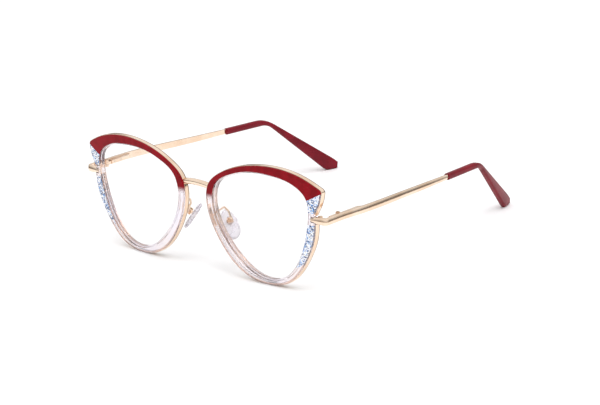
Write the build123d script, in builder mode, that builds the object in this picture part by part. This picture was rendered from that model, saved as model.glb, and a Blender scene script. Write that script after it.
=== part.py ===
"""Cat-eye eyeglasses: a gold metal front with moulded plastic inner rims, sprung hinges and tips.

The frame stands open on a table: +Z up, the wearer faces -Y, and +X is the wearer's left.
The origin is under the middle of the whole frame, on the table. All lengths are millimetres.
Every left piece is modelled once, and its right twin is its mirror image in the middle plane.
"""

import os
from math import sqrt

from build123d import *

os.makedirs("parts", exist_ok=True)

# Driving dimensions
FRONT_Y = -74.0  # plane of the front, half the frame's length ahead of the origin
LENS_X, LENS_Z = 36.0, 25.6  # middle of the left lens
DISH_R = 400.0  # radius of the front face, which is slightly domed
FACE_SLOPE = 0.0547  # the front wraps back this much per millimetre outwards
TILT_SLOPE = -0.0213  # the top leans forward this much per millimetre upwards
FACE_MIDDLE = 0.6  # how far the lens middle lies behind the front plane

RIM_DEPTH = 3.4  # plastic inner rim, front to back
WIRE_WIDTH = 1.0  # gold eyewire band seen from the front
WIRE_FRONT, WIRE_BACK = 0.75, 3.35  # the band's depths behind the plastic's front face
FIT = 0.03  # clearance between the plastic and the eyewire
LIP = 0.25  # the plastic's front flange covers the eyewire up to this close to the outline
LENS_FRONT, LENS_THICK = 1.1, 1.6
GROOVE = 0.6  # how far the lens edge goes into the plastic
PANEL_DEPTH = 0.3  # glitter panel

LUG_X = 63.4  # inner end of the endpiece's lug on the rim
STRIP = 1.5  # thickness of endpiece and temple
STRIP_X = 71.6  # outer face of the endpiece
HINGE_Z, HINGE_TALL = 32.8, 3.0  # middle and height of endpiece and hinge
SEAM = 15.4  # from the front plane to the joint between endpiece and temple
HINGE_X, HINGE_Y = 69.1, 13.4  # hinge screw axis
KNUCKLE_R, HINGE_SCREW_R = 0.98, 0.5
EYE_TALL, EYE_R = 0.9, 0.88
RUNNING = 0.05  # radial clearance of moving fits
SPRING_TRAVEL = 1.0  # how far a temple pulls back on its slider

PAD_AT = (11.0, 9.0, 19.8)  # middle of the nose pad, counted from the front plane
PAD_DOWN = (0.569, -0.190, -0.796)  # along the pad, towards its wide end
PAD_FACE = (-0.681, 0.433, -0.590)  # out of the pad's skin side
PAD_HALF = 1.1  # half the pad's thickness
PAD_PIVOT = (-1.0, -2.1)  # pad screw axis: along the pad, and behind its middle

CORE_R = 0.6  # wire core inside the temple tip
TIP_WIDE = 2.7
TIP_START, TIP_LENGTH = 87.0, 60.8

# Views that the outlines are drawn in
front_view = Plane(origin=(0, FRONT_Y - 5, 0), x_dir=(1, 0, 0), z_dir=(0, -1, 0))
side_view = Plane(origin=(45, FRONT_Y, 0), x_dir=(0, 1, 0), z_dir=(1, 0, 0))
top_view = Plane(origin=(0, FRONT_Y, 0), x_dir=(1, 0, 0), z_dir=(0, 0, 1))

# Dome of the front face
slope = sqrt(1 + FACE_SLOPE**2 + TILT_SLOPE**2)
DISH_CENTRE = (
    LENS_X - FACE_SLOPE * DISH_R / slope,
    FRONT_Y + FACE_MIDDLE + DISH_R / slope,
    LENS_Z - TILT_SLOPE * DISH_R / slope,
)


def face_depth(x, z):
    """How far the domed front face lies behind the front plane at a point seen from the front."""
    dx, dz = x - DISH_CENTRE[0], z - DISH_CENTRE[2]
    return DISH_CENTRE[1] - sqrt(DISH_R**2 - dx**2 - dz**2) - FRONT_Y


def shell(front, back):
    """The layer between two depths behind the domed front face."""
    outer = Sphere(DISH_R - front, mode=Mode.PRIVATE)
    inner = Sphere(DISH_R - back, mode=Mode.PRIVATE)
    return Pos(*DISH_CENTRE) * (outer - inner)


# Outlines of the left rim, seen from the front
with BuildSketch(front_view) as rim_outline:
    with BuildLine():
        # from under the endpiece round the bottom, the nose side and the brow to the corner
        Spline(
            (65.6, 30.8), (65.0, 25.6), (62.0, 17.6), (57.2, 9.9), (50.2, 3.0), (41.0, 0.2),
            (30.5, 0.9), (21.6, 5.2), (13.6, 13.8), (8.2, 23.6), (6.3, 33.4), (8.4, 40.4),
            (14.0, 45.0), (21.5, 48.6), (31.0, 51.2), (42.0, 52.3), (52.0, 51.6), (61.0, 49.2),
            (69.2, 45.4),
        )
        Spline((69.2, 45.4), (68.4, 41.2), (66.8, 37.4), (65.2, 34.8))
        Line((65.2, 34.8), (65.6, 30.8))
    make_face()
    fillet(rim_outline.vertices().sort_by(Axis.X)[-1], 1.3)

with BuildSketch(front_view) as opening:
    with BuildLine():
        Spline(
            (10.2, 33.0), (12.2, 40.1), (20.0, 45.3), (31.0, 48.4), (43.0, 48.7), (55.0, 46.2),
            (61.2, 41.2), (61.9, 33.0), (58.8, 20.0), (52.8, 8.9), (44.5, 3.0), (34.0, 2.9),
            (22.5, 9.9), (13.8, 20.6),
            periodic=True,
        )
    make_face()


def grown(outline, amount):
    """The outline's face, grown by an amount all round, or shrunk where it is negative."""
    return offset(outline.sketch, amount=amount, mode=Mode.PRIVATE).to_splines(tolerance=0.001)


def column(face):
    """A face seen from the front, carried back through the whole front."""
    return extrude(face, amount=20, dir=(0, 1, 0), mode=Mode.PRIVATE)


def front_block(x0, x1, y0, y1, z0, z1):
    """A box by its limits, with y counted from the front plane."""
    middle = ((x0 + x1) / 2, (y0 + y1) / 2 + FRONT_Y, (z0 + z1) / 2)
    return Pos(*middle) * Box(x1 - x0, y1 - y0, z1 - z0, mode=Mode.PRIVATE)


def rod(start, end, radius):
    """A round rod between two points, each counted from the front plane."""
    foot = Vector(start[0], start[1] + FRONT_Y, start[2])
    length = Vector(*end) - Vector(*start)
    return Plane(foot, z_dir=length) * Cylinder(
        radius, length.length, align=(Align.CENTER, Align.CENTER, Align.MIN), mode=Mode.PRIVATE
    )


# Eyewire: a flat gold band round the plastic, open at the temple side where the endpiece sits
HINGE_LOW, HINGE_HIGH = HINGE_Z - HINGE_TALL / 2, HINGE_Z + HINGE_TALL / 2
with BuildPart() as eyewire:
    add(column(rim_outline.sketch))
    add(column(grown(rim_outline, -WIRE_WIDTH)), mode=Mode.SUBTRACT)
    add(shell(WIRE_FRONT, WIRE_BACK), mode=Mode.INTERSECT)
    add(front_block(60, 75, -5, 15, HINGE_LOW, HINGE_HIGH), mode=Mode.SUBTRACT)

# Endpiece: a strip that starts on the rim and bends back to the temple
LUG_Y = face_depth(65.0, HINGE_Z) - 0.3
BEND_Y = LUG_Y + 0.7
SEAT_BACK = LUG_Y + STRIP + 0.3  # the seat for it in the inner rim is cut this deep
with BuildPart() as endpiece:
    with BuildSketch(top_view.offset(HINGE_LOW)):
        with BuildLine():
            outer = FilletPolyline((LUG_X, LUG_Y), (STRIP_X, BEND_Y), (STRIP_X, SEAM), radius=2.6)
            inner = FilletPolyline(
                (LUG_X, LUG_Y + STRIP), (STRIP_X - STRIP, BEND_Y + STRIP), (STRIP_X - STRIP, SEAM),
                radius=1.1,
            )
            Line(outer @ 0, inner @ 0)
            Line(outer @ 1, inner @ 1)
        make_face()
    extrude(amount=HINGE_TALL)

# Inner rim: the moulded plastic ring that carries the lens in a groove, with a flange over the eyewire
panel_limits = [
    [(55, 35.6), (75, 35.6), (75, 47.6), (63.0, 41.2), (60.0, 40.0)],
    [(61.0, 30.4), (75, 30.4), (75, 22.6), (53.6, 9.7), (52.4, 12.0)],
]
with BuildPart() as glitter_panel:
    with BuildSketch(front_view):
        for limit in panel_limits:
            with BuildLine():
                Polyline(*limit, close=True)
            make_face()
    extrude(amount=-20)
    add(column(grown(rim_outline, -LIP - 0.35)), mode=Mode.INTERSECT)
    add(column(grown(opening, 0.3)), mode=Mode.SUBTRACT)
    add(shell(0, PANEL_DEPTH), mode=Mode.INTERSECT)

with BuildPart() as inner_rim:
    add(column(grown(rim_outline, -WIRE_WIDTH - FIT)))
    add(shell(WIRE_FRONT - 0.2, RIM_DEPTH), mode=Mode.INTERSECT)
    add(column(grown(rim_outline, -LIP)) & shell(0, WIRE_FRONT - FIT))
    add(column(opening.sketch), mode=Mode.SUBTRACT)
    groove = column(grown(opening, GROOVE)) & shell(LENS_FRONT - FIT, LENS_FRONT + LENS_THICK + FIT)
    add(groove, mode=Mode.SUBTRACT)
    add(glitter_panel.part, mode=Mode.SUBTRACT)
    seat_block = front_block(LUG_X - FIT, 75, -5, SEAT_BACK, HINGE_LOW - FIT, HINGE_HIGH + FIT)
    add(seat_block, mode=Mode.SUBTRACT)

# Lens: a clear demo lens, its edge in the groove
with BuildPart() as lens:
    add(column(grown(opening, GROOVE - FIT)))
    add(shell(LENS_FRONT, LENS_FRONT + LENS_THICK), mode=Mode.INTERSECT)

# Rim lock: two barrels behind the endpiece, drawn together by a screw so that the eyewire closes
LOCK_X, LOCK_R, LOCK_SCREW_R = 66.7, 0.95, 0.45
LOCK_Y = LUG_Y + STRIP + LOCK_R + 0.2
lock_foot = (LOCK_X, LOCK_Y, HINGE_LOW)
with BuildPart() as rim_lock:
    add(rod(lock_foot, (LOCK_X, LOCK_Y, HINGE_HIGH), LOCK_R))
    add(rod(lock_foot, (LOCK_X, LOCK_Y, HINGE_HIGH), LOCK_SCREW_R), mode=Mode.SUBTRACT)
    add(front_block(60, 70, 0, 10, HINGE_Z - 0.05, HINGE_Z + 0.05), mode=Mode.SUBTRACT)
    add(endpiece.part, mode=Mode.SUBTRACT)

with BuildPart() as rim_lock_screw:
    add(rod(lock_foot, (LOCK_X, LOCK_Y, HINGE_HIGH), LOCK_SCREW_R))
    add(rod((LOCK_X, LOCK_Y, HINGE_LOW - 0.5), lock_foot, LOCK_R - 0.1))
    slot = front_block(LOCK_X - 1, LOCK_X + 1, LOCK_Y - 0.12, LOCK_Y + 0.12, HINGE_LOW - 1, HINGE_LOW - 0.25)
    add(slot, mode=Mode.SUBTRACT)

# Hinge fork: two leaves brazed inside the endpiece, with the screw through them
LEAF_LOW, LEAF_HIGH = HINGE_Z - EYE_TALL / 2 - RUNNING, HINGE_Z + EYE_TALL / 2 + RUNNING
fork_x = STRIP_X - STRIP
with BuildPart() as hinge_fork:
    add(rod((HINGE_X, HINGE_Y, HINGE_LOW), (HINGE_X, HINGE_Y, HINGE_HIGH), KNUCKLE_R))
    add(front_block(HINGE_X, fork_x, HINGE_Y - KNUCKLE_R, HINGE_Y + KNUCKLE_R, HINGE_LOW, HINGE_HIGH))
    add(front_block(60, 75, 0, 20, LEAF_LOW, LEAF_HIGH), mode=Mode.SUBTRACT)
    plate_end = HINGE_Y - KNUCKLE_R
    add(front_block(fork_x - 0.7, fork_x, BEND_Y + 4.0, plate_end, HINGE_LOW, HINGE_HIGH))
    add(rod((HINGE_X, HINGE_Y, 30), (HINGE_X, HINGE_Y, 36), HINGE_SCREW_R + 0.01), mode=Mode.SUBTRACT)

HEAD_TALL = 0.35
with BuildPart() as hinge_screw:
    add(rod((HINGE_X, HINGE_Y, HINGE_LOW - 0.1), (HINGE_X, HINGE_Y, HINGE_HIGH), HINGE_SCREW_R))
    head_top = HINGE_HIGH + HEAD_TALL
    add(rod((HINGE_X, HINGE_Y, HINGE_HIGH), (HINGE_X, HINGE_Y, head_top), KNUCKLE_R - 0.15))
    slot = front_block(HINGE_X - 2, HINGE_X + 2, HINGE_Y - 0.13, HINGE_Y + 0.13, head_top - 0.25, 40)
    add(slot, mode=Mode.SUBTRACT)

# Hinge slider: the eye on the screw, a square tongue, and a rod with a collar that carries the spring
TONGUE_END, ROD_R, COLLAR_R = 17.8, 0.25, 0.5
TONGUE_HALF = 0.45
SHOULDER = (TONGUE_END + SPRING_TRAVEL, 19.4)
COLLAR = (25.0, 25.6)
EYE_LOW, EYE_HIGH = HINGE_Z - EYE_TALL / 2, HINGE_Z + EYE_TALL / 2
with BuildPart() as hinge_slider:
    add(rod((HINGE_X, HINGE_Y, EYE_LOW), (HINGE_X, HINGE_Y, EYE_HIGH), EYE_R))
    add(front_block(HINGE_X - TONGUE_HALF, HINGE_X + TONGUE_HALF, HINGE_Y, TONGUE_END, EYE_LOW, EYE_HIGH))
    add(rod((HINGE_X, TONGUE_END, HINGE_Z), (HINGE_X, COLLAR[1], HINGE_Z), ROD_R))
    add(rod((HINGE_X, COLLAR[0], HINGE_Z), (HINGE_X, COLLAR[1], HINGE_Z), COLLAR_R))
    screw_hole = rod((HINGE_X, HINGE_Y, 30), (HINGE_X, HINGE_Y, 36), HINGE_SCREW_R + RUNNING)
    add(screw_hole, mode=Mode.SUBTRACT)

# Hinge spring: a fine coil on the rod, between the housing's shoulder and the collar
COIL_R, COIL_WIRE_R, COIL_TURNS = 0.375, 0.07, 10
coil_tall = COLLAR[0] - SHOULDER[1] - 2 * COIL_WIRE_R - 0.04
coil_foot = (HINGE_X, FRONT_Y + SHOULDER[1] + COIL_WIRE_R + 0.02, HINGE_Z)
with BuildPart() as hinge_spring:
    with BuildLine():
        coil = Helix(coil_tall / COIL_TURNS, coil_tall, COIL_R, center=coil_foot, direction=(0, 1, 0))
    with BuildSketch(Plane(coil @ 0, z_dir=coil % 0)):
        Circle(COIL_WIRE_R)
    sweep(path=coil, is_frenet=True)

# Temple: a springy bar that tapers back to the tip, then a round wire core that runs inside it.
# Each station gives the distance from the front plane, the outer face, the middle and the height.
stations = [
    (SEAM + 0.02, 71.6, 32.8, 3.0),
    (28.0, 72.1, 32.5, 3.1),
    (50.0, 70.7, 31.7, 3.0),
    (70.0, 68.9, 30.9, 2.7),
    (TIP_START + 2, 67.4, 30.35, 2.1),
]
RIDGE = 0.3  # how far the middle of the outer face stands out from its edges
BEND_AT = (64.2, 111.9, 29.65)
core_points = [(66.6, TIP_START, 30.35), BEND_AT, (55.0, 139.0, 5.9)]
with BuildPart() as temple:
    for y, x, z, tall in stations:
        thick = STRIP - 0.3 * (y - SEAM) / (TIP_START - SEAM)
        with BuildSketch(Plane(origin=(x, FRONT_Y + y, z), x_dir=(1, 0, 0), z_dir=(0, -1, 0))):
            with BuildLine():
                Polyline(
                    (-thick, -tall / 2), (-RIDGE, -tall / 2), (0, 0), (-RIDGE, tall / 2), (-thick, tall / 2),
                    close=True,
                )
            make_face()
    loft()
    with BuildLine() as core_line:
        FilletPolyline(*[(x, FRONT_Y + y, z) for x, y, z in core_points], radius=14)
    with BuildSketch(Plane(core_line.line @ 0, z_dir=core_line.line % 0)):
        Circle(CORE_R)
    sweep(path=core_line.line)

# Temple tip: the side shape, kept to a band that toes in as seen from above, with the core's bore
with BuildPart() as temple_tip:
    with BuildSketch(side_view):
        with BuildLine():
            back = FilletPolyline((TIP_START, 31.8), (111.4, 31.1), (144.2, 6.0), radius=18)
            heel = Polyline(
                back @ 1, (TIP_START + TIP_LENGTH, 2.9), (146.8, 0), (141.8, 0), (140.2, 1.0)
            )
            front = FilletPolyline((TIP_START, 28.9), (112.4, 28.2), (140.2, 1.0), radius=10)
            Line(back @ 0, front @ 0)
        make_face()
    extrude(amount=40)
    with BuildSketch(top_view) as tip_band:
        with BuildLine():
            FilletPolyline((66.6, TIP_START - 1), (64.4, 111.0), (50.6, 152.0), radius=30)
        trace(line_width=TIP_WIDE)
    extrude(tip_band.sketch, amount=40, mode=Mode.INTERSECT)
    add(temple.part, mode=Mode.SUBTRACT)

# Housing pins: two rivets that close the housing, seen as dots on its inner face
PIN_R = 0.3
HOUSING_X = HINGE_X - 0.85  # the housing's inner face
with BuildPart() as housing_pins:
    for y in (17.5, 21.5):
        add(rod((HOUSING_X - 0.05, y, HINGE_Z), (HINGE_X - 0.6, y, HINGE_Z), PIN_R))

# Hinge housing: the box soldered inside the temple, with the slider's channel and the spring's bore
HOUSING_HALF = 0.75
with BuildPart() as hinge_housing:
    with BuildSketch(top_view.offset(HINGE_Z - HOUSING_HALF)):
        with BuildLine():
            Polyline((71.0, 15.9), (HOUSING_X, 15.9), (HOUSING_X, 26.3), (71.0, 29.4), close=True)
        make_face()
    extrude(amount=2 * HOUSING_HALF)
    add(temple.part, mode=Mode.SUBTRACT)
    channel = TONGUE_HALF + RUNNING
    add(
        front_block(
            HINGE_X - channel, HINGE_X + channel, 15, SHOULDER[0], EYE_LOW - RUNNING, EYE_HIGH + RUNNING
        ),
        mode=Mode.SUBTRACT,
    )
    add(rod((HINGE_X, 15, HINGE_Z), (HINGE_X, 27, HINGE_Z), ROD_R + RUNNING), mode=Mode.SUBTRACT)
    bore_end = COLLAR[1] + 0.1
    add(rod((HINGE_X, SHOULDER[1], HINGE_Z), (HINGE_X, bore_end, HINGE_Z), COLLAR_R + RUNNING),
        mode=Mode.SUBTRACT)
    add(housing_pins.part, mode=Mode.SUBTRACT)

# Nose pad: a soft silicone drop on a metal insert, held in a small box by a cross screw
pad_plane = Plane(
    origin=(PAD_AT[0], FRONT_Y + PAD_AT[1], PAD_AT[2]), x_dir=PAD_DOWN, z_dir=PAD_FACE
)
PIVOT_X, PIVOT_Z = PAD_PIVOT
cross = Plane(
    origin=pad_plane.from_local_coords((PIVOT_X, 0, PIVOT_Z)), x_dir=pad_plane.x_dir, z_dir=pad_plane.y_dir
)
TAB_R, TAB_HALF, PAD_SCREW_R = 0.6, 0.3, 0.28
with BuildPart() as pad_insert:
    with BuildSketch(cross) as tab:
        Circle(TAB_R)
        with Locations((0, -0.75)):
            Rectangle(2 * TAB_R, 1.5)
        Circle(PAD_SCREW_R + RUNNING, mode=Mode.SUBTRACT)
    extrude(amount=TAB_HALF, both=True)
    with BuildSketch(pad_plane.offset(-0.6)):
        with Locations((PIVOT_X, 0)):
            Circle(1.4)
    extrude(amount=0.4)

with BuildPart() as nose_pad:
    with BuildSketch(pad_plane):
        with BuildLine():
            Spline(
                (-7.0, 0), (-4.6, 2.6), (0.6, 3.8), (5.2, 2.9),
                (7.0, 0), (5.2, -2.9), (0.6, -3.8), (-4.6, -2.6),
                periodic=True,
            )
        make_face()
    extrude(amount=PAD_HALF, both=True)
    fillet(nose_pad.faces().sort_by(Axis(pad_plane.origin, PAD_FACE))[0].edges(), 0.7)
    fillet(nose_pad.faces().sort_by(Axis(pad_plane.origin, PAD_FACE))[-1].edges(), 0.9)
    add(pad_insert.part, mode=Mode.SUBTRACT)

# Pad box: two cheeks and a web, soldered on the end of the arm
BOX_WIDE, BOX_HALF, BOX_FOOT = 2.4, 1.1, 1.2
with BuildPart() as pad_box:
    with BuildSketch(cross):
        with Locations((0, BOX_FOOT / 2 - 0.3)):
            Rectangle(BOX_WIDE, BOX_FOOT + 0.6)
    extrude(amount=BOX_HALF, both=True)
    with BuildSketch(cross):
        with Locations((0, 0)):
            Rectangle(BOX_WIDE + 1, 2 * TAB_R + 0.2)
    extrude(amount=TAB_HALF + 0.06, both=True, mode=Mode.SUBTRACT)
    with BuildSketch(cross):
        Circle(PAD_SCREW_R + 0.01)
    extrude(amount=2, both=True, mode=Mode.SUBTRACT)

with BuildPart() as pad_screw:
    with BuildSketch(cross.offset(-BOX_HALF)):
        Circle(PAD_SCREW_R)
    extrude(amount=2 * BOX_HALF)
    with BuildSketch(cross.offset(BOX_HALF)):
        Circle(0.55)
    extrude(amount=0.35)
    with BuildSketch(cross.offset(BOX_HALF + 0.35)):
        Rectangle(2, 0.2)
    extrude(amount=-0.2, mode=Mode.SUBTRACT)

# Pad arm: a soft wire that loops from the back of the eyewire round to the pad box
ARM_R = 0.45
box_foot = cross.from_local_coords((0, BOX_FOOT, 0))
box_approach = cross.from_local_coords((0, BOX_FOOT + 1.5, 0))
arm_points = [(8.3, 3.0, 24.8), (8.5, 5.6, 26.6), (10.2, 7.0, 28.0), (12.7, 6.9, 26.6)]
with BuildPart() as pad_arm:
    with BuildLine() as arm_line:
        FilletPolyline(
            *[(x, FRONT_Y + y, z) for x, y, z in arm_points], box_approach, box_foot, radius=0.75
        )
    with BuildSketch(Plane(arm_line.line @ 0, z_dir=arm_line.line % 0)):
        Circle(ARM_R)
    sweep(path=arm_line.line)
    add(eyewire.part, mode=Mode.SUBTRACT)

# Bridge: a round bar, slightly arched, brazed between the two eyewires
BRIDGE_R = 1.35
rim_column = column(rim_outline.sketch)
with BuildPart() as bridge:
    with BuildLine() as bridge_line:
        ThreePointArc((-9, FRONT_Y + 2.0, 37.6), (0, FRONT_Y + 1.7, 38.6), (9, FRONT_Y + 2.0, 37.6))
    with BuildSketch(Plane(bridge_line.line @ 0, z_dir=bridge_line.line % 0)):
        Circle(BRIDGE_R)
    sweep(path=bridge_line.line)
    add(rim_column, mode=Mode.SUBTRACT)
    add(mirror(rim_column, about=Plane.YZ, mode=Mode.PRIVATE), mode=Mode.SUBTRACT)

# Every piece is written out, and the left ones once more as their right twins
bridge.part.label = "bridge"
export_step(bridge.part, "parts/bridge.step")

left_pieces = {
    "eyewire": eyewire,
    "inner_rim": inner_rim,
    "glitter_panel": glitter_panel,
    "lens": lens,
    "endpiece": endpiece,
    "rim_lock": rim_lock,
    "rim_lock_screw": rim_lock_screw,
    "hinge_fork": hinge_fork,
    "hinge_screw": hinge_screw,
    "hinge_slider": hinge_slider,
    "hinge_spring": hinge_spring,
    "hinge_housing": hinge_housing,
    "housing_pins": housing_pins,
    "temple": temple,
    "temple_tip": temple_tip,
    "pad_arm": pad_arm,
    "pad_box": pad_box,
    "pad_screw": pad_screw,
    "pad_insert": pad_insert,
    "nose_pad": nose_pad,
}
for name, piece in left_pieces.items():
    twin = mirror(piece.part, about=Plane.YZ)
    piece.part.label, twin.label = f"{name}_left", f"{name}_right"
    export_step(piece.part, f"parts/{name}_left.step")
    export_step(twin, f"parts/{name}_right.step")
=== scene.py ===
import math

import bpy
import numpy as np
from mathutils import Matrix, Vector


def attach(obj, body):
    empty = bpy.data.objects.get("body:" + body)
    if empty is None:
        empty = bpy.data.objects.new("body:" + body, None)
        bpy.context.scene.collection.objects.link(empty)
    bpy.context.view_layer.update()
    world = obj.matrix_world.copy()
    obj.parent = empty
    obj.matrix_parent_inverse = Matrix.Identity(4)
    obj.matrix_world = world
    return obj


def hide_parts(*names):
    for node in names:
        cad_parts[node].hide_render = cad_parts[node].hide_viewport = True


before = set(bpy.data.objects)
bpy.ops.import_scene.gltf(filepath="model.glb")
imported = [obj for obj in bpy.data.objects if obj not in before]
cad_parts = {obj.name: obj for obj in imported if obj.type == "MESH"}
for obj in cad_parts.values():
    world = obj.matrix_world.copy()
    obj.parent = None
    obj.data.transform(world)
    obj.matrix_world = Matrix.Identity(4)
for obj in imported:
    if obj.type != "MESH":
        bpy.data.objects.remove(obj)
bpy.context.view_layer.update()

# --- Inner rims -----------------------------------------------------------------------------------
# The plastic ring round each lens: injection moulded in clear plastic with a pink cast, domed like the
# lens, and pressed into the gold eyewire, which its front flange covers nearly to the edge. Its face is
# enamelled dark red over the brow, to a slanted edge at the temple corner and a soft fade by the nose.
MM = 0.001
FRONT_Y = -74.0  # the plane that depths are counted from, in mm like every shape below
LENS_X, LENS_Z = 36.0, 25.6
DISH_R, FACE_SLOPE, TILT_SLOPE, FACE_MIDDLE = 400.0, 0.0547, -0.0213, 0.6
WIRE_WIDTH, FIT = 1.0, 0.03
RIM_DEPTH, RIM_EDGE, RIM_INNER_EDGE = 3.4, 0.2, 0.3
LIP, LIP_DEPTH = 0.25, 0.72  # the front flange reaches this close to the outline, and is this deep
FACE_DROP = 0.03  # the glitter panels stand proud of the plastic by this
GROOVE, GROOVE_DEPTHS = 0.6, (1.07, 2.73)
RIM_STATIONS = 520
CORNER_SOFT = 2.6  # length of outline over which its corners are rounded
RIM_CHAMFER = 0.15  # rear edges
RED_EDGE = (63.0, 41.2, 0.533)  # x, z and slope of the slanted edge of the enamel
FADE_Z, FADE_TALL = 34.0, 3.6
EDGE_SHARP = 0.08  # half the width of the step at the slanted edge
ENAMEL = (0.210, 0.0015, 0.006, 1), (0.275, 0.002, 0.009, 1)
CLEAR_CAST = (0.97, 0.88, 0.87, 1), (0.92, 0.88, 0.96, 1)

outline_points = [
    (65.6, 30.8), (65.0, 25.6), (62.0, 17.6), (57.2, 9.9), (50.2, 3.0), (41.0, 0.2), (30.5, 0.9),
    (21.6, 5.2), (13.6, 13.8), (8.2, 23.6), (6.3, 33.4), (8.4, 40.4), (14.0, 45.0), (21.5, 48.6),
    (31.0, 51.2), (42.0, 52.3), (52.0, 51.6), (61.0, 49.2), (69.2, 45.4),
]
corner_points = [(69.2, 45.4), (68.4, 41.2), (66.8, 37.4), (65.2, 34.8)]
opening_points = [
    (10.2, 33.0), (12.2, 40.1), (20.0, 45.3), (31.0, 48.4), (43.0, 48.7), (55.0, 46.2), (61.2, 41.2),
    (61.9, 33.0), (58.8, 20.0), (52.8, 8.9), (44.5, 3.0), (34.0, 2.9), (22.5, 9.9), (13.8, 20.6),
]


def through(points, count, closed=False):
    """count points along a smooth curve through the given ones. Each span is a cubic, and the second
    derivatives M solve h0 M0 + 2 (h0 + h1) M1 + h1 M2 = 6 (slope1 - slope0), with M = 0 at open ends."""
    p = np.asarray(points, float)
    if closed:
        p = np.vstack([p, p[:1]])
    h = np.linalg.norm(np.diff(p, axis=0), axis=1)
    n = len(h)
    slope = np.diff(p, axis=0) / h[:, None]
    bend = np.zeros((n + 1, n + 1))
    push = np.zeros((n + 1, p.shape[1]))
    i = np.arange(1, n)
    bend[i, i - 1], bend[i, i], bend[i, i + 1] = h[:-1], 2 * (h[:-1] + h[1:]), h[1:]
    push[i] = 6 * (slope[1:] - slope[:-1])
    bend[0, 0] = bend[n, n] = 1
    if closed:
        bend[0, n] = -1
        bend[n, [0, 1, n - 1, n]] = 2 * h[0], h[0], h[-1], 2 * h[-1]
        push[n] = 6 * (slope[0] - slope[-1])
    m = np.linalg.solve(bend, push)
    knots = np.concatenate([[0], np.cumsum(h)])
    t = np.linspace(0, knots[-1], count, endpoint=not closed)
    k = np.clip(np.searchsorted(knots, t, side="right") - 1, 0, n - 1)
    u, w, hk = (knots[k + 1] - t)[:, None], (t - knots[k])[:, None], h[k][:, None]
    cubic = (m[k] * u**3 + m[k + 1] * w**3) / (6 * hk)
    return cubic + (p[k] / hk - m[k] * hk / 6) * u + (p[k + 1] / hk - m[k + 1] * hk / 6) * w


def evenly(line, count, closed=False):
    """The polyline's points again, count of them, at equal steps of arc length."""
    if closed:
        line = np.vstack([line, line[:1]])
    run = np.concatenate([[0], np.cumsum(np.linalg.norm(np.diff(line, axis=0), axis=1))])
    at = np.linspace(0, run[-1], count, endpoint=not closed)
    return np.stack([np.interp(at, run, c) for c in line.T], axis=1)


def softened(line, reach, closed=False):
    """Corners rounded: each point becomes the mean of those within reach / 2 along the evenly spaced line.
    An open line is first carried on straight past its ends, so that the ends stay."""
    step = np.linalg.norm(np.diff(line, axis=0), axis=1).mean()
    half = max(1, int(round(reach / step / 2)))
    if closed:
        long = np.vstack([line[-half:], line, line[:half]])
    else:
        out = np.arange(half, 0, -1)[:, None]
        before, after = line[0] - out * (line[1] - line[0]), line[-1] + out[::-1] * (line[-1] - line[-2])
        long = np.vstack([before, line, after])
    box = np.ones(2 * half + 1) / (2 * half + 1)
    return np.stack([np.convolve(c, box, mode="valid") for c in long.T], axis=1)


def face_depth(x, z):
    """Depth of the domed face behind the front plane: a sphere of radius DISH_R, turned by two slopes."""
    slope = math.sqrt(1 + FACE_SLOPE**2 + TILT_SLOPE**2)
    dx = x - LENS_X + FACE_SLOPE * DISH_R / slope
    dz = z - LENS_Z + TILT_SLOPE * DISH_R / slope
    return FACE_MIDDLE + DISH_R / slope - np.sqrt(DISH_R**2 - dx**2 - dz**2)


def shrunk(loop, inwards):
    """A closed clockwise loop moved inwards by that many mm: each point goes along its normal (tz, -tx)."""
    tangent = np.roll(loop, -1, axis=0) - np.roll(loop, 1, axis=0)
    tangent /= np.linalg.norm(tangent, axis=1)[:, None]
    return loop + inwards * np.stack([tangent[:, 1], -tangent[:, 0]], axis=1)


def solid(rows, joined=False):
    """Points and faces of a closed skin over a grid rows[i, j]: station i along it, point j round its
    section. Each quad joins (i, j) to the next round and the next along. The last station meets the first
    if joined, and otherwise a flat face closes each end. The enclosed volume, the sum of a . (b x c) over
    the faces' triangles, tells which way the faces look, and they are turned to look out."""
    n, m, _ = rows.shape
    i, j = np.meshgrid(np.arange(n if joined else n - 1), np.arange(m), indexing="ij")
    i2, j2 = (i + 1) % n, (j + 1) % m
    quads = np.stack([i * m + j, i * m + j2, i2 * m + j2, i2 * m + j], axis=-1).reshape(-1, 4)
    points = rows.reshape(-1, 3)
    a, b, c, d = (points[quads[:, k]] - points.mean(axis=0) for k in range(4))
    volume = (a * np.cross(b, c)).sum() + (a * np.cross(c, d)).sum()
    faces = quads.tolist()
    if not joined:
        faces += [list(range(m))[::-1], list(range((n - 1) * m, n * m))]
    if volume < 0:
        faces = [f[::-1] for f in faces]
    return points, faces


def add_piece(name, points, faces, body, slot, material, stands_for, edge=32, **marks):
    """One piece from its points in mm: a mesh with smooth faces and sharp edges past an angle. marks are
    named numbers, one for each point, which the material reads."""
    mesh = bpy.data.meshes.new(name)
    mesh.from_pydata((points * MM).tolist(), [], faces)
    mesh.shade_smooth()
    mesh.set_sharp_from_angle(angle=math.radians(edge))
    for mark, values in marks.items():
        mesh.attributes.new(mark, "FLOAT", "POINT").data.foreach_set("value", values.ravel().astype(float))
    mesh.materials.append(material)
    piece = bpy.data.objects.new(name, mesh)
    bpy.context.scene.collection.objects.link(piece)
    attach(piece, body)
    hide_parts(*stands_for)


def add_pair(name, rows, body, slot, material, stands_for, joined=False, **rest):
    """A left piece and its right twin, x -> -x, from one grid of points in mm. {} in body and in
    stands_for takes the side."""
    for side, way in (("left", 1), ("right", -1)):
        points, faces = solid(rows * (way, 1, 1), joined=joined)
        nodes = [node.format(side) for node in stands_for]
        add_piece(f"{name}_{side}", points, faces, body.format(side), slot, material, nodes, **rest)


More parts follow.
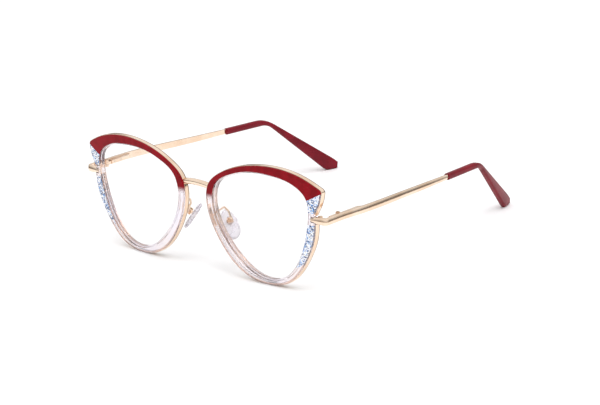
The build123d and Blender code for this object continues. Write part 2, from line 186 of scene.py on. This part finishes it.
def material_of(name, **numbers):
    """A new node material. Returns it with its node tree and Principled shader, whose sockets named in
    numbers, with _ for a space, are set directly."""
    material = bpy.data.materials.new(name)
    material.use_nodes = True
    shader = material.node_tree.nodes["Principled BSDF"]
    for socket, value in numbers.items():
        shader.inputs[socket.replace("_", " ")].default_value = value
    return material, material.node_tree, shader


def add_node(tree, kind, inputs=(), **settings):
    """A node of that kind. inputs are (socket, value or output socket) pairs."""
    node = tree.nodes.new("ShaderNode" + kind)
    for key, value in settings.items():
        setattr(node, key, value)
    for socket, value in inputs:
        if isinstance(value, bpy.types.NodeSocket):
            tree.links.new(value, node.inputs[socket])
        else:
            node.inputs[socket].default_value = value
    return node


def result_of(tree, kind, a, b=0.0, c=0.0):
    """The output of a Math node: kind applied to a, b and c."""
    return add_node(tree, "Math", ((0, a), (1, b), (2, c)), operation=kind).outputs[0]


def eased(tree, value, low, high, start=0.0, end=1.0):
    """start below low, end above high, and a smooth step between them."""
    pairs = ((0, value), (1, low), (2, high), (3, start), (4, end))
    return add_node(tree, "MapRange", pairs, interpolation_type="SMOOTHSTEP").outputs[0]


def noise_of(tree, scale, detail=3.0):
    """Noise at a scale per metre on the piece's own coordinates."""
    place = add_node(tree, "TexCoord").outputs["Object"]
    return add_node(tree, "TexNoise", (("Vector", place), ("Scale", scale), ("Detail", detail))).outputs[0]


def blend_of(tree, share, first, second):
    """A colour between two, by share."""
    node = add_node(tree, "Mix", data_type="RGBA")
    for socket, value in ((node.inputs[0], share), (node.inputs[6], first), (node.inputs[7], second)):
        if isinstance(value, bpy.types.NodeSocket):
            tree.links.new(value, socket)
        else:
            socket.default_value = value
    return node.outputs[2]


def finish_of(tree, shader, **sockets):
    """Links outputs to the shader's sockets named in sockets, with _ for a space."""
    for socket, output in sockets.items():
        tree.links.new(output, shader.inputs[socket.replace("_", " ")])


def ramp_of(tree, value, stops):
    """A colour read from a value on a ramp through stops, which go from 0 to 1."""
    node = add_node(tree, "ValToRGB", (("Fac", value),))
    elements = node.color_ramp.elements
    for spot, colour in stops:
        stop = elements[0] if spot == 0 else elements[-1] if spot == 1 else elements.new(spot)
        stop.color = colour
    return node.outputs[0]


def bump_of(tree, height, strength, distance):
    """A normal from a height, with the distance in metres."""
    pairs = (("Height", height), ("Strength", strength), ("Distance", distance))
    return add_node(tree, "Bump", pairs).outputs[0]


def rim_material():
    """Clear plastic with red enamel where coat > 0 and z is over the enamel's edge: the slanted line
    z = 41.2 + 0.533 (|x| - 63) on the temple side, and a soft step round z = 34 on the nose side."""
    name = "red_enamel_on_clear_plastic"
    material, tree, shader = material_of(name, IOR=1.45, Specular_IOR_Level=0.12)
    place = add_node(tree, "SeparateXYZ", ((0, add_node(tree, "TexCoord").outputs["Object"]),))
    x = result_of(tree, "ABSOLUTE", place.outputs[0])
    z = place.outputs[2]
    edge_x, edge_z, slope = RED_EDGE
    slanted = result_of(tree, "MULTIPLY_ADD", x, slope, (edge_z - slope * edge_x) * MM)
    over_edge = result_of(tree, "SUBTRACT", z, slanted)
    above = eased(tree, over_edge, -EDGE_SHARP * MM, EDGE_SHARP * MM)
    low, high = (FADE_Z - FADE_TALL / 2) * MM, (FADE_Z + FADE_TALL / 2) * MM
    fading = eased(tree, z, low, high)
    temple_side = result_of(tree, "GREATER_THAN", x, LENS_X * MM)
    red_here = add_node(tree, "Mix", ((0, temple_side), (2, fading), (3, above))).outputs[0]
    coat = add_node(tree, "Attribute", attribute_name="coat").outputs["Fac"]
    red = result_of(tree, "MULTIPLY", red_here, result_of(tree, "GREATER_THAN", coat, 0.5))
    enamel = blend_of(tree, eased(tree, noise_of(tree, 260.0), 0.35, 0.65), *ENAMEL)
    plastic = blend_of(tree, eased(tree, noise_of(tree, 60.0), 0.3, 0.7), *CLEAR_CAST)
    finish_of(
        tree, shader,
        Base_Color=blend_of(tree, red, plastic, enamel),
        Transmission_Weight=result_of(tree, "MULTIPLY_ADD", red, -0.9, 0.9),
        Roughness=result_of(tree, "MULTIPLY_ADD", red, 0.17, 0.05),
        Normal=bump_of(tree, noise_of(tree, 900.0), 0.04, 0.05 * MM),
    )
    return material


outline_line = np.vstack([through(outline_points, 900), through(corner_points, 90)[1:], outline_points[:1]])
outline_loop = softened(evenly(outline_line, RIM_STATIONS, closed=True), CORNER_SOFT, closed=True)
opening_loop = through(opening_points, RIM_STATIONS, closed=True)

rim_edge_loop = shrunk(outline_loop, LIP)
centre = np.array([LENS_X, LENS_Z])
turn = np.arctan2(*(rim_edge_loop - centre).T[::-1])
open_turn = np.arctan2(*(opening_loop - centre).T[::-1])
open_reach = np.linalg.norm(opening_loop - centre, axis=1)
order = np.argsort(open_turn)
reach = np.interp(turn, open_turn[order], open_reach[order], period=2 * math.pi)
rim_hole_loop = centre + reach[:, None] * np.stack([np.cos(turn), np.sin(turn)], axis=1)


def rim_rows():
    """The ring's section at each station, carried from the edge line E to the hole line H: a point lies at
    E + (H - E) a / |H - E| for its distance a from the edge, at its depth behind the domed face. Both front
    edges are quarter circles, a rebate behind the flange holds the eyewire, and a groove in the inner wall
    the lens. Returns the grid and the coat, which is 1 from the flange's wall to the inner round edge."""
    width = np.linalg.norm(rim_hole_loop - rim_edge_loop, axis=1)[:, None]
    way = (rim_hole_loop - rim_edge_loop) / width
    arc = np.linspace(0, math.pi / 2, 6)
    outer_a, outer_d = RIM_EDGE * (1 - np.cos(arc)), RIM_EDGE * (1 - np.sin(arc))
    inner_a, inner_d = RIM_INNER_EDGE * (np.sin(arc) - 1), RIM_INNER_EDGE * (1 - np.cos(arc))
    back = RIM_DEPTH - RIM_CHAMFER
    low, high = GROOVE_DEPTHS
    rebate = WIRE_WIDTH + FIT - LIP
    from_outer = np.concatenate([[rebate, rebate, 0.0], outer_a])
    from_inner = np.concatenate([inner_a, [0, GROOVE, GROOVE, 0, 0, -RIM_CHAMFER]])
    across = np.linspace(0, 1, 9)[1:-1]
    flat = RIM_EDGE + (width - RIM_EDGE - RIM_INNER_EDGE) * across
    last = 0 * width + rebate + RIM_CHAMFER
    a = np.hstack([from_outer + 0 * width, flat, width + from_inner, last])
    depth = np.concatenate([
        [back, LIP_DEPTH, LIP_DEPTH], FACE_DROP + outer_d, 0 * across + FACE_DROP, FACE_DROP + inner_d,
        [low, low, high, high, back, RIM_DEPTH, RIM_DEPTH],
    ])
    place, covered = np.arange(len(depth)), 1 + len(arc) + len(across) + len(arc) // 2
    coat = ((place > 1) & (place <= 2 + covered)).astype(float)
    x, z = (rim_edge_loop[:, None, k] + a * way[:, None, k] for k in (0, 1))
    y = FRONT_Y + face_depth(x, z) + depth
    return np.stack([x, y, z], axis=-1), np.broadcast_to(coat, a.shape)


rim_grid, rim_coat = rim_rows()
add_pair("rim_plastic", rim_grid, "front", "rim_plastic", rim_material(), ["inner_rim_{}"],
         joined=True, coat=rim_coat)

# --- Glitter panels -------------------------------------------------------------------------------
# Two inlays at each temple corner, above and below the endpiece: silver and blue glitter flakes set in
# clear varnish, glued into pockets in the rim's face. The flakes lie at all angles, so they sparkle.
FLAKE, FINE_FLAKE = 2000.0, 4600.0  # flakes per metre
FLAKE_COLOURS = (
    (0.0, (0.01, 0.03, 0.10, 1)), (0.30, (0.02, 0.10, 0.34, 1)), (0.40, (0.22, 0.50, 0.95, 1)),
    (0.55, (0.72, 0.78, 1.0, 1)), (0.66, (1.0, 1.0, 1.0, 1)), (1.0, (1.0, 1.0, 1.0, 1)),
)
FINE_COLOUR = (0.95, 0.96, 1.0, 1)


def glitter_material():
    """Each flake is a Voronoi cell: its random number picks slate, blue, pale blue or white from a ramp, and
    tilts the shader's normal, so that neighbours shine differently. Some finer cells are near white."""
    material, tree, shader = material_of("silver_blue_glitter", Metallic=0.2, Coat_Weight=0.3,
                                         Coat_Roughness=0.1)
    place = add_node(tree, "TexCoord").outputs["Object"]
    coarse = add_node(tree, "TexVoronoi", (("Vector", place), ("Scale", FLAKE)))
    fine = add_node(tree, "TexVoronoi", (("Vector", place), ("Scale", FINE_FLAKE)))
    pick = add_node(tree, "SeparateColor", ((0, coarse.outputs["Color"]),)).outputs[0]
    flakes = ramp_of(tree, pick, FLAKE_COLOURS)
    small = add_node(tree, "SeparateColor", ((0, fine.outputs["Color"]),)).outputs[1]
    finish_of(
        tree, shader,
        Base_Color=blend_of(tree, eased(tree, small, 0.8, 0.95), flakes, FINE_COLOUR),
        Roughness=result_of(tree, "MULTIPLY_ADD", small, 0.25, 0.2),
        Normal=bump_of(tree, pick, 0.9, 0.08 * MM),
    )
    return material


def dress(nodes, material):
    """Gives a shape that is already right its finish. {} takes each side."""
    for node in nodes:
        for side in ("left", "right"):
            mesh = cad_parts[node.format(side)].data
            mesh.materials.clear()
            mesh.materials.append(material)


dress(["glitter_panel_{}"], glitter_material())

# --- Lenses ---------------------------------------------------------------------------------------
# Clear acrylic demo lenses, thermoformed to the dome and edged to sit in the rims' grooves. They have no
# power and no tint, only the faintest coolness.
COOL_CAST, WARM_CAST = (0.93, 0.96, 1, 1), (0.98, 0.97, 1, 1)


def lens_material():
    """Nearly clear: a low alpha, with a film whose coolness drifts slowly over the lens."""
    material, tree, shader = material_of("clear_lens", Roughness=0.03, IOR=1.49, Alpha=0.05)
    drift = eased(tree, noise_of(tree, 30.0), 0.3, 0.7)
    finish_of(tree, shader, Base_Color=blend_of(tree, drift, COOL_CAST, WARM_CAST))
    return material


dress(["lens_{}"], lens_material())

# --- Eyewires -------------------------------------------------------------------------------------
# A flat nickel-silver band bent round each plastic ring, its ends brought together at the endpiece, then
# polished and plated in pale rose gold. A fine line is turned into it near the rear, coloured dark as
# painted shade.
GOLD_LIGHT, GOLD_DEEP = (0.97, 0.78, 0.62, 1), (0.86, 0.64, 0.47, 1)
# Painted shade: the dark colour given to the wire's groove and to the facets' line.
PAINTED_SHADE_COLOUR = (0.10, 0.055, 0.04, 1)
LUG_GAP = 3.6  # length of the outline that is left open for the endpiece
WIRE_SECTION = [  # inwards from the outline, and depth behind the domed face
    (1.0, 0.75), (0.22, 0.75), (0.08, 0.79), (0.02, 0.87), (0.0, 1.0), (0.0, 2.52), (0.15, 2.60),
    (0.15, 2.92), (0.08, 2.98), (0.16, 3.12), (0.3, 3.24), (0.5, 3.32), (0.75, 3.35), (1.0, 3.35),
]
# Painted shade: these points of the section are coloured dark.
WIRE_SHADE_POINTS = [6, 7]  # the section's points in the fine line


def gold_material(name, roughness, light=GOLD_LIGHT, deep=GOLD_DEEP):
    """Polished plate: the colour drifts between two golds, turns to a dark painted shade where the mark
    "line" nears 1, and fine polishing marks vary the gloss and lift the surface a few hundredths of a
    millimetre."""
    material, tree, shader = material_of(name, Metallic=1.0)
    drift = eased(tree, noise_of(tree, 120.0), 0.3, 0.7)
    marks = noise_of(tree, 1800.0, 5.0)
    line = add_node(tree, "Attribute", attribute_name="line").outputs["Fac"]
    finish_of(
        tree, shader,
        # Painted shade: where the mark "line" is 1, the gold gives way to the dark colour.
        Base_Color=blend_of(tree, line, blend_of(tree, drift, light, deep), PAINTED_SHADE_COLOUR),
        Roughness=result_of(tree, "MULTIPLY_ADD", marks, 0.1, roughness),
        Normal=bump_of(tree, marks, 0.05, 0.02 * MM),
    )
    return material


gold = gold_material("rose_gold_plate", 0.1)


def wire_rows():
    """The band's section (inwards from the outline, depth behind the domed face) at every station of the
    outline except those of the short side, which is left open for the endpiece."""
    step = np.linalg.norm(np.roll(outline_loop, -1, axis=0) - outline_loop, axis=1).mean()
    gap = int(LUG_GAP / step)
    inwards, depth = np.array(WIRE_SECTION).T
    loops = np.stack([shrunk(outline_loop, a) for a in inwards], axis=1)[: RIM_STATIONS - gap]
    x, z = loops[..., 0], loops[..., 1]
    return np.stack([x, FRONT_Y + face_depth(x, z) + depth, z], axis=-1)


def painted_shade_at(rows, points):
    """The mark "line", which paints shade: 1 at those points of every section, and 0 at the rest."""
    return np.broadcast_to(np.isin(np.arange(rows.shape[1]), points), rows.shape[:2])


wire_grid = wire_rows()
# The groove's points carry the mark "line", so they are painted dark as shade.
add_pair("gold_eyewire", wire_grid, "front", "gold_metal", gold, ["eyewire_{}"],
         line=painted_shade_at(wire_grid, WIRE_SHADE_POINTS))

# --- Bridge ---------------------------------------------------------------------------------------
# A round gold bar, arched a little, that is brazed to both eyewires. The braze makes a small collar at
# each end.
BRIDGE_R, BRIDGE_END = 1.35, 8.15
BRIDGE_MIDDLE, BRIDGE_FOOT = (1.7, 38.6), (2.0, 37.75)  # depth and height
BRAZE_TALL, BRAZE_LONG = 0.12, 0.5


def tube_rows(line, radius, sides=28):
    """A round section carried along a line: point = line + radius (cos a U + sin a V), where V is the
    tangent crossed with a fixed side direction, and U is V crossed with the tangent."""
    tangent = np.gradient(line, axis=0)
    tangent /= np.linalg.norm(tangent, axis=1)[:, None]
    side = np.cross(tangent, np.array([0.0, 1.0, 0.0]))
    side /= np.linalg.norm(side, axis=1)[:, None]
    other = np.cross(side, tangent)
    a = np.linspace(0, 2 * math.pi, sides, endpoint=False)[None, :, None]
    spread = np.cos(a) * side[:, None] + np.sin(a) * other[:, None]
    return line[:, None] + np.broadcast_to(radius, len(line))[:, None, None] * spread


def bridge_rows():
    """The bar's line is a parabola from foot to foot. At a distance e from its end, the braze makes the
    radius BRIDGE_R + BRAZE_TALL exp(-(e / BRAZE_LONG)^2)."""
    x = np.linspace(-BRIDGE_END, BRIDGE_END, 90)
    fall = (x / BRIDGE_END) ** 2
    depth, height = (m + fall * (f - m) for m, f in zip(BRIDGE_MIDDLE, BRIDGE_FOOT))
    line = np.stack([x, FRONT_Y + depth, height], axis=1)
    return tube_rows(line, BRIDGE_R + BRAZE_TALL * np.exp(-(((BRIDGE_END - np.abs(x)) / BRAZE_LONG) ** 2)))


points, faces = solid(bridge_rows())
add_piece("gold_bridge", points, faces, "front", "gold_metal", gold, ["bridge"])

# --- Endpieces ------------------------------------------------------------------------------------
# A stamped strip of the same metal, brazed on the rim with its end let into the plastic. It bends back
# round the corner and meets the temple in a fine seam. Its outer face has two facets with a line between,
# coloured darker as painted shade.
STRIP, STRIP_X, LUG_X, SEAM = 1.5, 71.6, 63.4, 15.4
HINGE_Z, HINGE_TALL = 32.8, 3.0
LUG_Y = float(face_depth(65.0, HINGE_Z)) - 0.3
BEND_Y = LUG_Y + 0.7
RIDGE, LINE_WIDE, LINE_DEEP = 0.3, 0.16, 0.12
EDGE_ROUND = 0.14
BEND_SOFT = 3.6  # length over which the bend is rounded
LUG_LOW, LUG_SHARE = 0.5, 0.18  # the lug is lower by this at its end, over this share of the strip
# Painted shade: the share of the dark colour laid on the line between the facets.
FACET_LINE_SHADE = 0.4  # how dark the line between the facets is


def strip_section(tall, thick):
    """A bar's section at each station, as (out, up) in mm from its ridge line: two facets that fall back by
    RIDGE towards the top and bottom edges, a fine V line between them, rounded edges and a flat back. A
    point's up is sign tall / 2 + way up, and where deep is 1 its out is counted for a bar 1 mm thick."""
    t, k = tall[:, None] / 2, thick[:, None]
    fine, turn_in = EDGE_ROUND, -RIDGE - EDGE_ROUND
    out = [-LINE_DEEP, 0.0, -RIDGE, turn_in, -1 + fine, -1, -1, -1 + fine, turn_in, -RIDGE, 0.0]
    up = [0, LINE_WIDE, -fine, 0, 0, -fine, -fine, 0, 0, -fine, LINE_WIDE]
    sign = np.array([0, 0, 1, 1, 1, 1, -1, -1, -1, -1, 0])
    way = np.array([0, 1, 1, 1, 1, 1, -1, -1, -1, -1, -1])
    deep = np.array([0, 0, 0, 0, 1, 1, 1, 1, 0, 0, 0])
    out = np.where(deep, np.array(out) + (1 - k), np.array(out))
    return out, sign * t + way * np.array(up)


def endpiece_rows():
    """The strip's outer edge seen from above is a polyline with a rounded corner. Its section stands on it,
    out along the normal (ty, -tx), and a share s along it is HINGE_TALL - LUG_LOW exp(-(s / LUG_SHARE)^2)
    tall."""
    plan = np.array([(LUG_X, LUG_Y), (STRIP_X, BEND_Y), (STRIP_X, SEAM - 0.01)])
    plan = softened(evenly(plan, 120), BEND_SOFT)
    tangent = np.gradient(plan, axis=0)
    tangent /= np.linalg.norm(tangent, axis=1)[:, None]
    run = np.linspace(0, 1, len(plan))
    tall = HINGE_TALL - LUG_LOW * np.exp(-((run / LUG_SHARE) ** 2))
    out, up = strip_section(tall, np.full(len(plan), STRIP))
    x = plan[:, :1] + out * tangent[:, 1:]
    y = plan[:, 1:] - out * tangent[:, :1]
    return np.stack([x, FRONT_Y + y, HINGE_Z + up], axis=-1)


endpiece_grid = endpiece_rows()
# The line between the endpiece's facets is coloured darker as painted shade.
add_pair("gold_endpiece", endpiece_grid, "front", "gold_metal", gold, ["endpiece_{}"],
         line=FACET_LINE_SHADE * painted_shade_at(endpiece_grid, [0]))

# --- Hinges and rim locks -------------------------------------------------------------------------
# Turned and milled small parts, brazed inside the endpiece and the temple and plated with them. Screws,
# rivets and the coil spring are steel; the screws are gilded, and show their slots.
STEEL = (0.62, 0.60, 0.57, 1), (0.50, 0.48, 0.46, 1)
GILT = (0.86, 0.64, 0.46, 1), (0.72, 0.50, 0.34, 1)
steel = gold_material("bright_spring_steel", 0.22, *STEEL)
gilt_screw = gold_material("gilt_screw", 0.2, *GILT)
dress(["hinge_fork_{}", "hinge_housing_{}", "hinge_slider_{}", "rim_lock_{}"], gold)
dress(["hinge_spring_{}", "housing_pins_{}"], steel)
dress(["hinge_screw_{}", "rim_lock_screw_{}"], gilt_screw)

# --- Temples --------------------------------------------------------------------------------------
# A rolled bar that thins and narrows towards the ear, polished and plated. Its outer face carries the
# endpiece's two facets and line, its inner face is flat, and its rear end is a wire inside the tip.
TEMPLE_STATIONS = [  # distance from the front plane, outer face, middle height, height
    (SEAM + 0.02, 71.6, 32.8, 3.0), (28.0, 72.1, 32.5, 3.1), (50.0, 70.7, 31.7, 3.0),
    (70.0, 68.9, 30.9, 2.7), (89.0, 67.4, 30.35, 2.1),
]
THINNING = 0.3  # how much thinner the bar is at its rear end


def temple_rows():
    """The stations' numbers follow smooth curves of the distance. The section stands across the bar."""
    y, x, z, tall = through(TEMPLE_STATIONS, 150).T
    thick = STRIP - THINNING * (y - SEAM) / (TEMPLE_STATIONS[-1][0] - SEAM)
    out, up = strip_section(tall, thick)
    return np.stack([x[:, None] + out, FRONT_Y + y[:, None] + 0 * out, z[:, None] + up], axis=-1)


temple_grid = temple_rows()
# The line between the temple's facets is coloured darker as painted shade.
add_pair("gold_temple", temple_grid, "temple_{}", "gold_metal", gold, ["temple_{}"],
         line=FACET_LINE_SHADE * painted_shade_at(temple_grid, [0]))

# --- Temple tips ----------------------------------------------------------------------------------
# Dark red acetate sleeves pushed on the wire, warmed and bent down behind the ear. They are milled with
# wide bevels and tumbled to a satin gloss, and end in a blunt cut that stands on the table.
TIP_TOP = [(87.0, 31.8), (111.4, 31.1), (144.2, 6.0)]
TIP_UNDER = [(87.0, 28.9), (112.4, 28.2), (140.2, 1.0)]
TIP_END = [((145.6, 4.85), (141.8, 0.0)), ((147.5, 3.1), (144.6, 0.0)), ((147.1, 1.2), (146.4, 0.0))]
TIP_PLAN = [(66.6, 86.0), (64.4, 111.0), (50.6, 152.0)]
TIP_TOP_SOFT, TIP_UNDER_SOFT, TIP_PLAN_SOFT = 11.0, 7.0, 7.0  # lengths over which the bends are rounded
TIP_WIDE, BEVEL_WIDE, BEVEL_TALL, BEVEL_SOFT = 2.7, 0.6, 0.7, 0.12
BEVEL_MOST = 0.42  # the bevels' largest share of the height
ACETATE = (0.150, 0.002, 0.009, 1), (0.225, 0.004, 0.015, 1)


def tip_rows():
    """Seen from the side, each station joins the under line to the top line; seen from above, a point at
    distance y lies w to the side of the plan line, along its normal. The section is a bevelled slab: w is
    half the width between the bevels and falls by the bevel towards the top and under lines."""
    top = np.vstack([softened(evenly(np.array(TIP_TOP), 150), TIP_TOP_SOFT), [t for t, _ in TIP_END]])
    under = softened(evenly(np.array(TIP_UNDER), 150), TIP_UNDER_SOFT)
    under = np.vstack([under, [u for _, u in TIP_END]])
    tall = np.linalg.norm(top - under, axis=1)[:, None]
    bevel = np.minimum(BEVEL_TALL / tall, BEVEL_MOST)
    half = TIP_WIDE / 2
    flat = half - BEVEL_WIDE
    soft = BEVEL_SOFT
    share = [0 * bevel, soft * bevel, (1 - soft) * bevel, (1 + soft) * bevel, 1 - (1 + soft) * bevel,
             1 - (1 - soft) * bevel, 1 - soft * bevel, 1 + 0 * bevel]
    side = np.array([flat - soft, flat + soft / 2, half - soft / 2, half, half, half - soft / 2,
                     flat + soft / 2, flat - soft])
    v = np.hstack(share + share[::-1])
    w = np.broadcast_to(np.concatenate([side, -side[::-1]]), v.shape)
    y = under[:, :1] + v * (top - under)[:, :1]
    z = under[:, 1:] + v * (top - under)[:, 1:]
    plan = softened(evenly(np.array(TIP_PLAN), 200), TIP_PLAN_SOFT)
    slope = np.gradient(plan[:, 0], plan[:, 1])
    x, lean = np.interp(y, plan[:, 1], plan[:, 0]), np.interp(y, plan[:, 1], slope)
    long = np.sqrt(1 + lean**2)
    return np.stack([x + w / long, FRONT_Y + y - w * lean / long, z], axis=-1)


def tip_material():
    """Acetate: two dark reds drift through each other in soft clouds, and tumbling leaves a satin gloss
    with the finest unevenness."""
    material, tree, shader = material_of("dark_red_acetate", Specular_IOR_Level=0.2)
    clouds = eased(tree, noise_of(tree, 140.0, 4.0), 0.3, 0.7)
    grain = noise_of(tree, 2500.0)
    finish_of(
        tree, shader,
        Base_Color=blend_of(tree, clouds, *ACETATE),
        Roughness=result_of(tree, "MULTIPLY_ADD", grain, 0.12, 0.3),
        Normal=bump_of(tree, grain, 0.06, 0.03 * MM),
    )
    return material


add_pair("acetate_tip", tip_rows(), "temple_{}", "tip_plastic", tip_material(), ["temple_tip_{}"], edge=24)

# --- Nose pads ------------------------------------------------------------------------------------
# Soft clear silicone drops, moulded over a small metal insert whose tab rocks on a cross screw in a tiny
# box. The box is soldered to a wire arm, which loops from the back of the eyewire.
PAD_AT = np.array([11.0, FRONT_Y + 9.0, 19.8])
PAD_DOWN, PAD_FACE = np.array([0.569, -0.190, -0.796]), np.array([-0.681, 0.433, -0.590])
PAD_HALF, PAD_ROUND, PAD_SWELL = 1.1, 0.4, 0.9
SILICONE = (0.90, 0.86, 0.93, 1), (0.95, 0.92, 0.95, 1)
pad_outline = [
    (-7.0, 0), (-4.6, 2.6), (0.6, 3.8), (5.2, 2.9), (7.0, 0), (5.2, -2.9), (0.6, -3.8), (-4.6, -2.6),
]


def pad_rows():
    """A drop outline swelled into a cushion: at angle f from the back pole to the front one the outline is
    scaled by cos(f)^PAD_ROUND, and the height is PAD_HALF |sin(f)|^PAD_SWELL to either side."""
    down, face = (v / np.linalg.norm(v) for v in (PAD_DOWN, PAD_FACE))
    across = np.cross(face, down)
    loop = through(pad_outline, 72, closed=True)
    f = np.linspace(-math.pi / 2, math.pi / 2, 28)[1:-1, None]
    scale = np.cos(f) ** PAD_ROUND
    lift = PAD_HALF * np.sign(np.sin(f)) * np.abs(np.sin(f)) ** PAD_SWELL
    spread = scale[..., None] * (loop[:, :1] * down + loop[:, 1:] * across)
    return PAD_AT + spread + lift[..., None] * face


def pad_material():
    """Clear silicone: light passes through it, blurred a little, and a milky drift gives it body."""
    material, tree, shader = material_of("clear_silicone", IOR=1.41, Coat_Weight=0.1)
    milk = eased(tree, noise_of(tree, 350.0), 0.3, 0.7)
    finish_of(
        tree, shader,
        Base_Color=blend_of(tree, milk, *SILICONE),
        Transmission_Weight=result_of(tree, "MULTIPLY_ADD", milk, -0.15, 0.58),
        Roughness=result_of(tree, "MULTIPLY_ADD", milk, 0.1, 0.25),
    )
    return material


add_pair("silicone_pad", pad_rows(), "pad_{}", "pad_silicone", pad_material(), ["nose_pad_{}"])
dress(["pad_arm_{}", "pad_box_{}", "pad_insert_{}"], gold)
dress(["pad_screw_{}"], gilt_screw)

# --- Table, light and camera ----------------------------------------------------------------------
# A square of white card under a wide soft lamp, in a white room that is darker low down, so that polished
# metal has something dark to show.
TABLE_SIZE, TABLE_DROP = 8.0, 0.02 * MM
CARD = (0.93, 0.93, 0.935, 1), (0.95, 0.95, 0.955, 1)
ROOM_LEVELS = ((0.0, 0.06), (0.08, 0.12), (0.20, 0.50), (0.36, 0.97), (1.0, 1.0))
ROOM_STRENGTH = 0.95
LAMP_PLACE, LAMP_SIZE, LAMP_POWER = (0.5, -0.4, 1.6), 1.4, 14.0  # metres and watts
CAMERA_TURN, CAMERA_RISE, CAMERA_ROLL = 43.354, 17.280, -2.914  # degrees
CAMERA_AIM = np.array([16.79, -27.22, 20.6]) * MM
CAMERA_FAR, CAMERA_LENS, SENSOR = 1.00552, 138.94, 36.0


def add_table():
    """A flat square under the object."""
    half = TABLE_SIZE / 2
    mesh = bpy.data.meshes.new("table")
    corners = [(-half, -half), (half, -half), (half, half), (-half, half)]
    mesh.from_pydata([(x, y, -TABLE_DROP) for x, y in corners], [], [(0, 1, 2, 3)])
    material, tree, shader = material_of("white_card", Roughness=0.9, Specular_IOR_Level=0.1)
    finish_of(tree, shader, Base_Color=blend_of(tree, noise_of(tree, 400.0), *CARD))
    mesh.materials.append(material)
    table = bpy.data.objects.new("table", mesh)
    bpy.context.scene.collection.objects.link(table)


def add_room():
    """The light that reaches the object by height: dim at the horizon, rising to full white overhead. Seen
    directly, the room is one pale tone."""
    world = bpy.data.worlds.new("white_room")
    world.use_nodes = True
    tree = world.node_tree
    direction = add_node(tree, "TexCoord").outputs["Generated"]
    height = add_node(tree, "SeparateXYZ", ((0, direction),)).outputs[2]
    reaching = ramp_of(tree, height, [(spot, (level, level, level, 1)) for spot, level in ROOM_LEVELS])
    seen = add_node(tree, "LightPath").outputs["Is Camera Ray"]
    background = tree.nodes["Background"]
    tree.links.new(blend_of(tree, seen, reaching, (1, 1, 1, 1)), background.inputs["Color"])
    background.inputs["Strength"].default_value = ROOM_STRENGTH
    bpy.context.scene.world = world


def add_lamp(name, place, aim, size, power):
    """A square soft lamp at a place in metres, turned to an aim. Gloss shows the room and not the lamp."""
    lamp = bpy.data.lights.new(name, "AREA")
    lamp.size, lamp.energy = size, power
    lamp_object = bpy.data.objects.new(name, lamp)
    lamp_object.location = place
    lamp_object.visible_glossy = False
    lamp_object.rotation_euler = (Vector(place) - Vector(aim)).to_track_quat("Z", "Y").to_euler()
    bpy.context.scene.collection.objects.link(lamp_object)


def add_camera():
    """The camera stands CAMERA_FAR from its aim, along back = (sin t cos r, -cos t cos r, sin r) for its
    turn t and rise r, and is rolled about that line."""
    t, r, roll = np.radians([CAMERA_TURN, CAMERA_RISE, CAMERA_ROLL])
    back = np.array([math.sin(t) * math.cos(r), -math.cos(t) * math.cos(r), math.sin(r)])
    right = np.array([math.cos(t), math.sin(t), 0.0])
    up = np.cross(back, right)
    across = math.cos(roll) * right + math.sin(roll) * up
    upright = math.cos(roll) * up - math.sin(roll) * right
    camera = bpy.data.objects.new("camera", bpy.data.cameras.new("camera"))
    camera.data.lens, camera.data.sensor_width = CAMERA_LENS, SENSOR
    camera.data.clip_start, camera.data.clip_end = 0.05, 50.0
    matrix = np.eye(4)
    matrix[:3, 0], matrix[:3, 1], matrix[:3, 2] = across, upright, back
    matrix[:3, 3] = CAMERA_AIM + back * CAMERA_FAR
    bpy.context.scene.collection.objects.link(camera)
    camera.matrix_world = Matrix(matrix.tolist())
    bpy.context.scene.camera = camera


add_table()
add_room()
add_lamp("soft_lamp", LAMP_PLACE, (0, 0, 0), LAMP_SIZE, LAMP_POWER)
add_camera()
bpy.context.scene.view_settings.view_transform = "Standard"
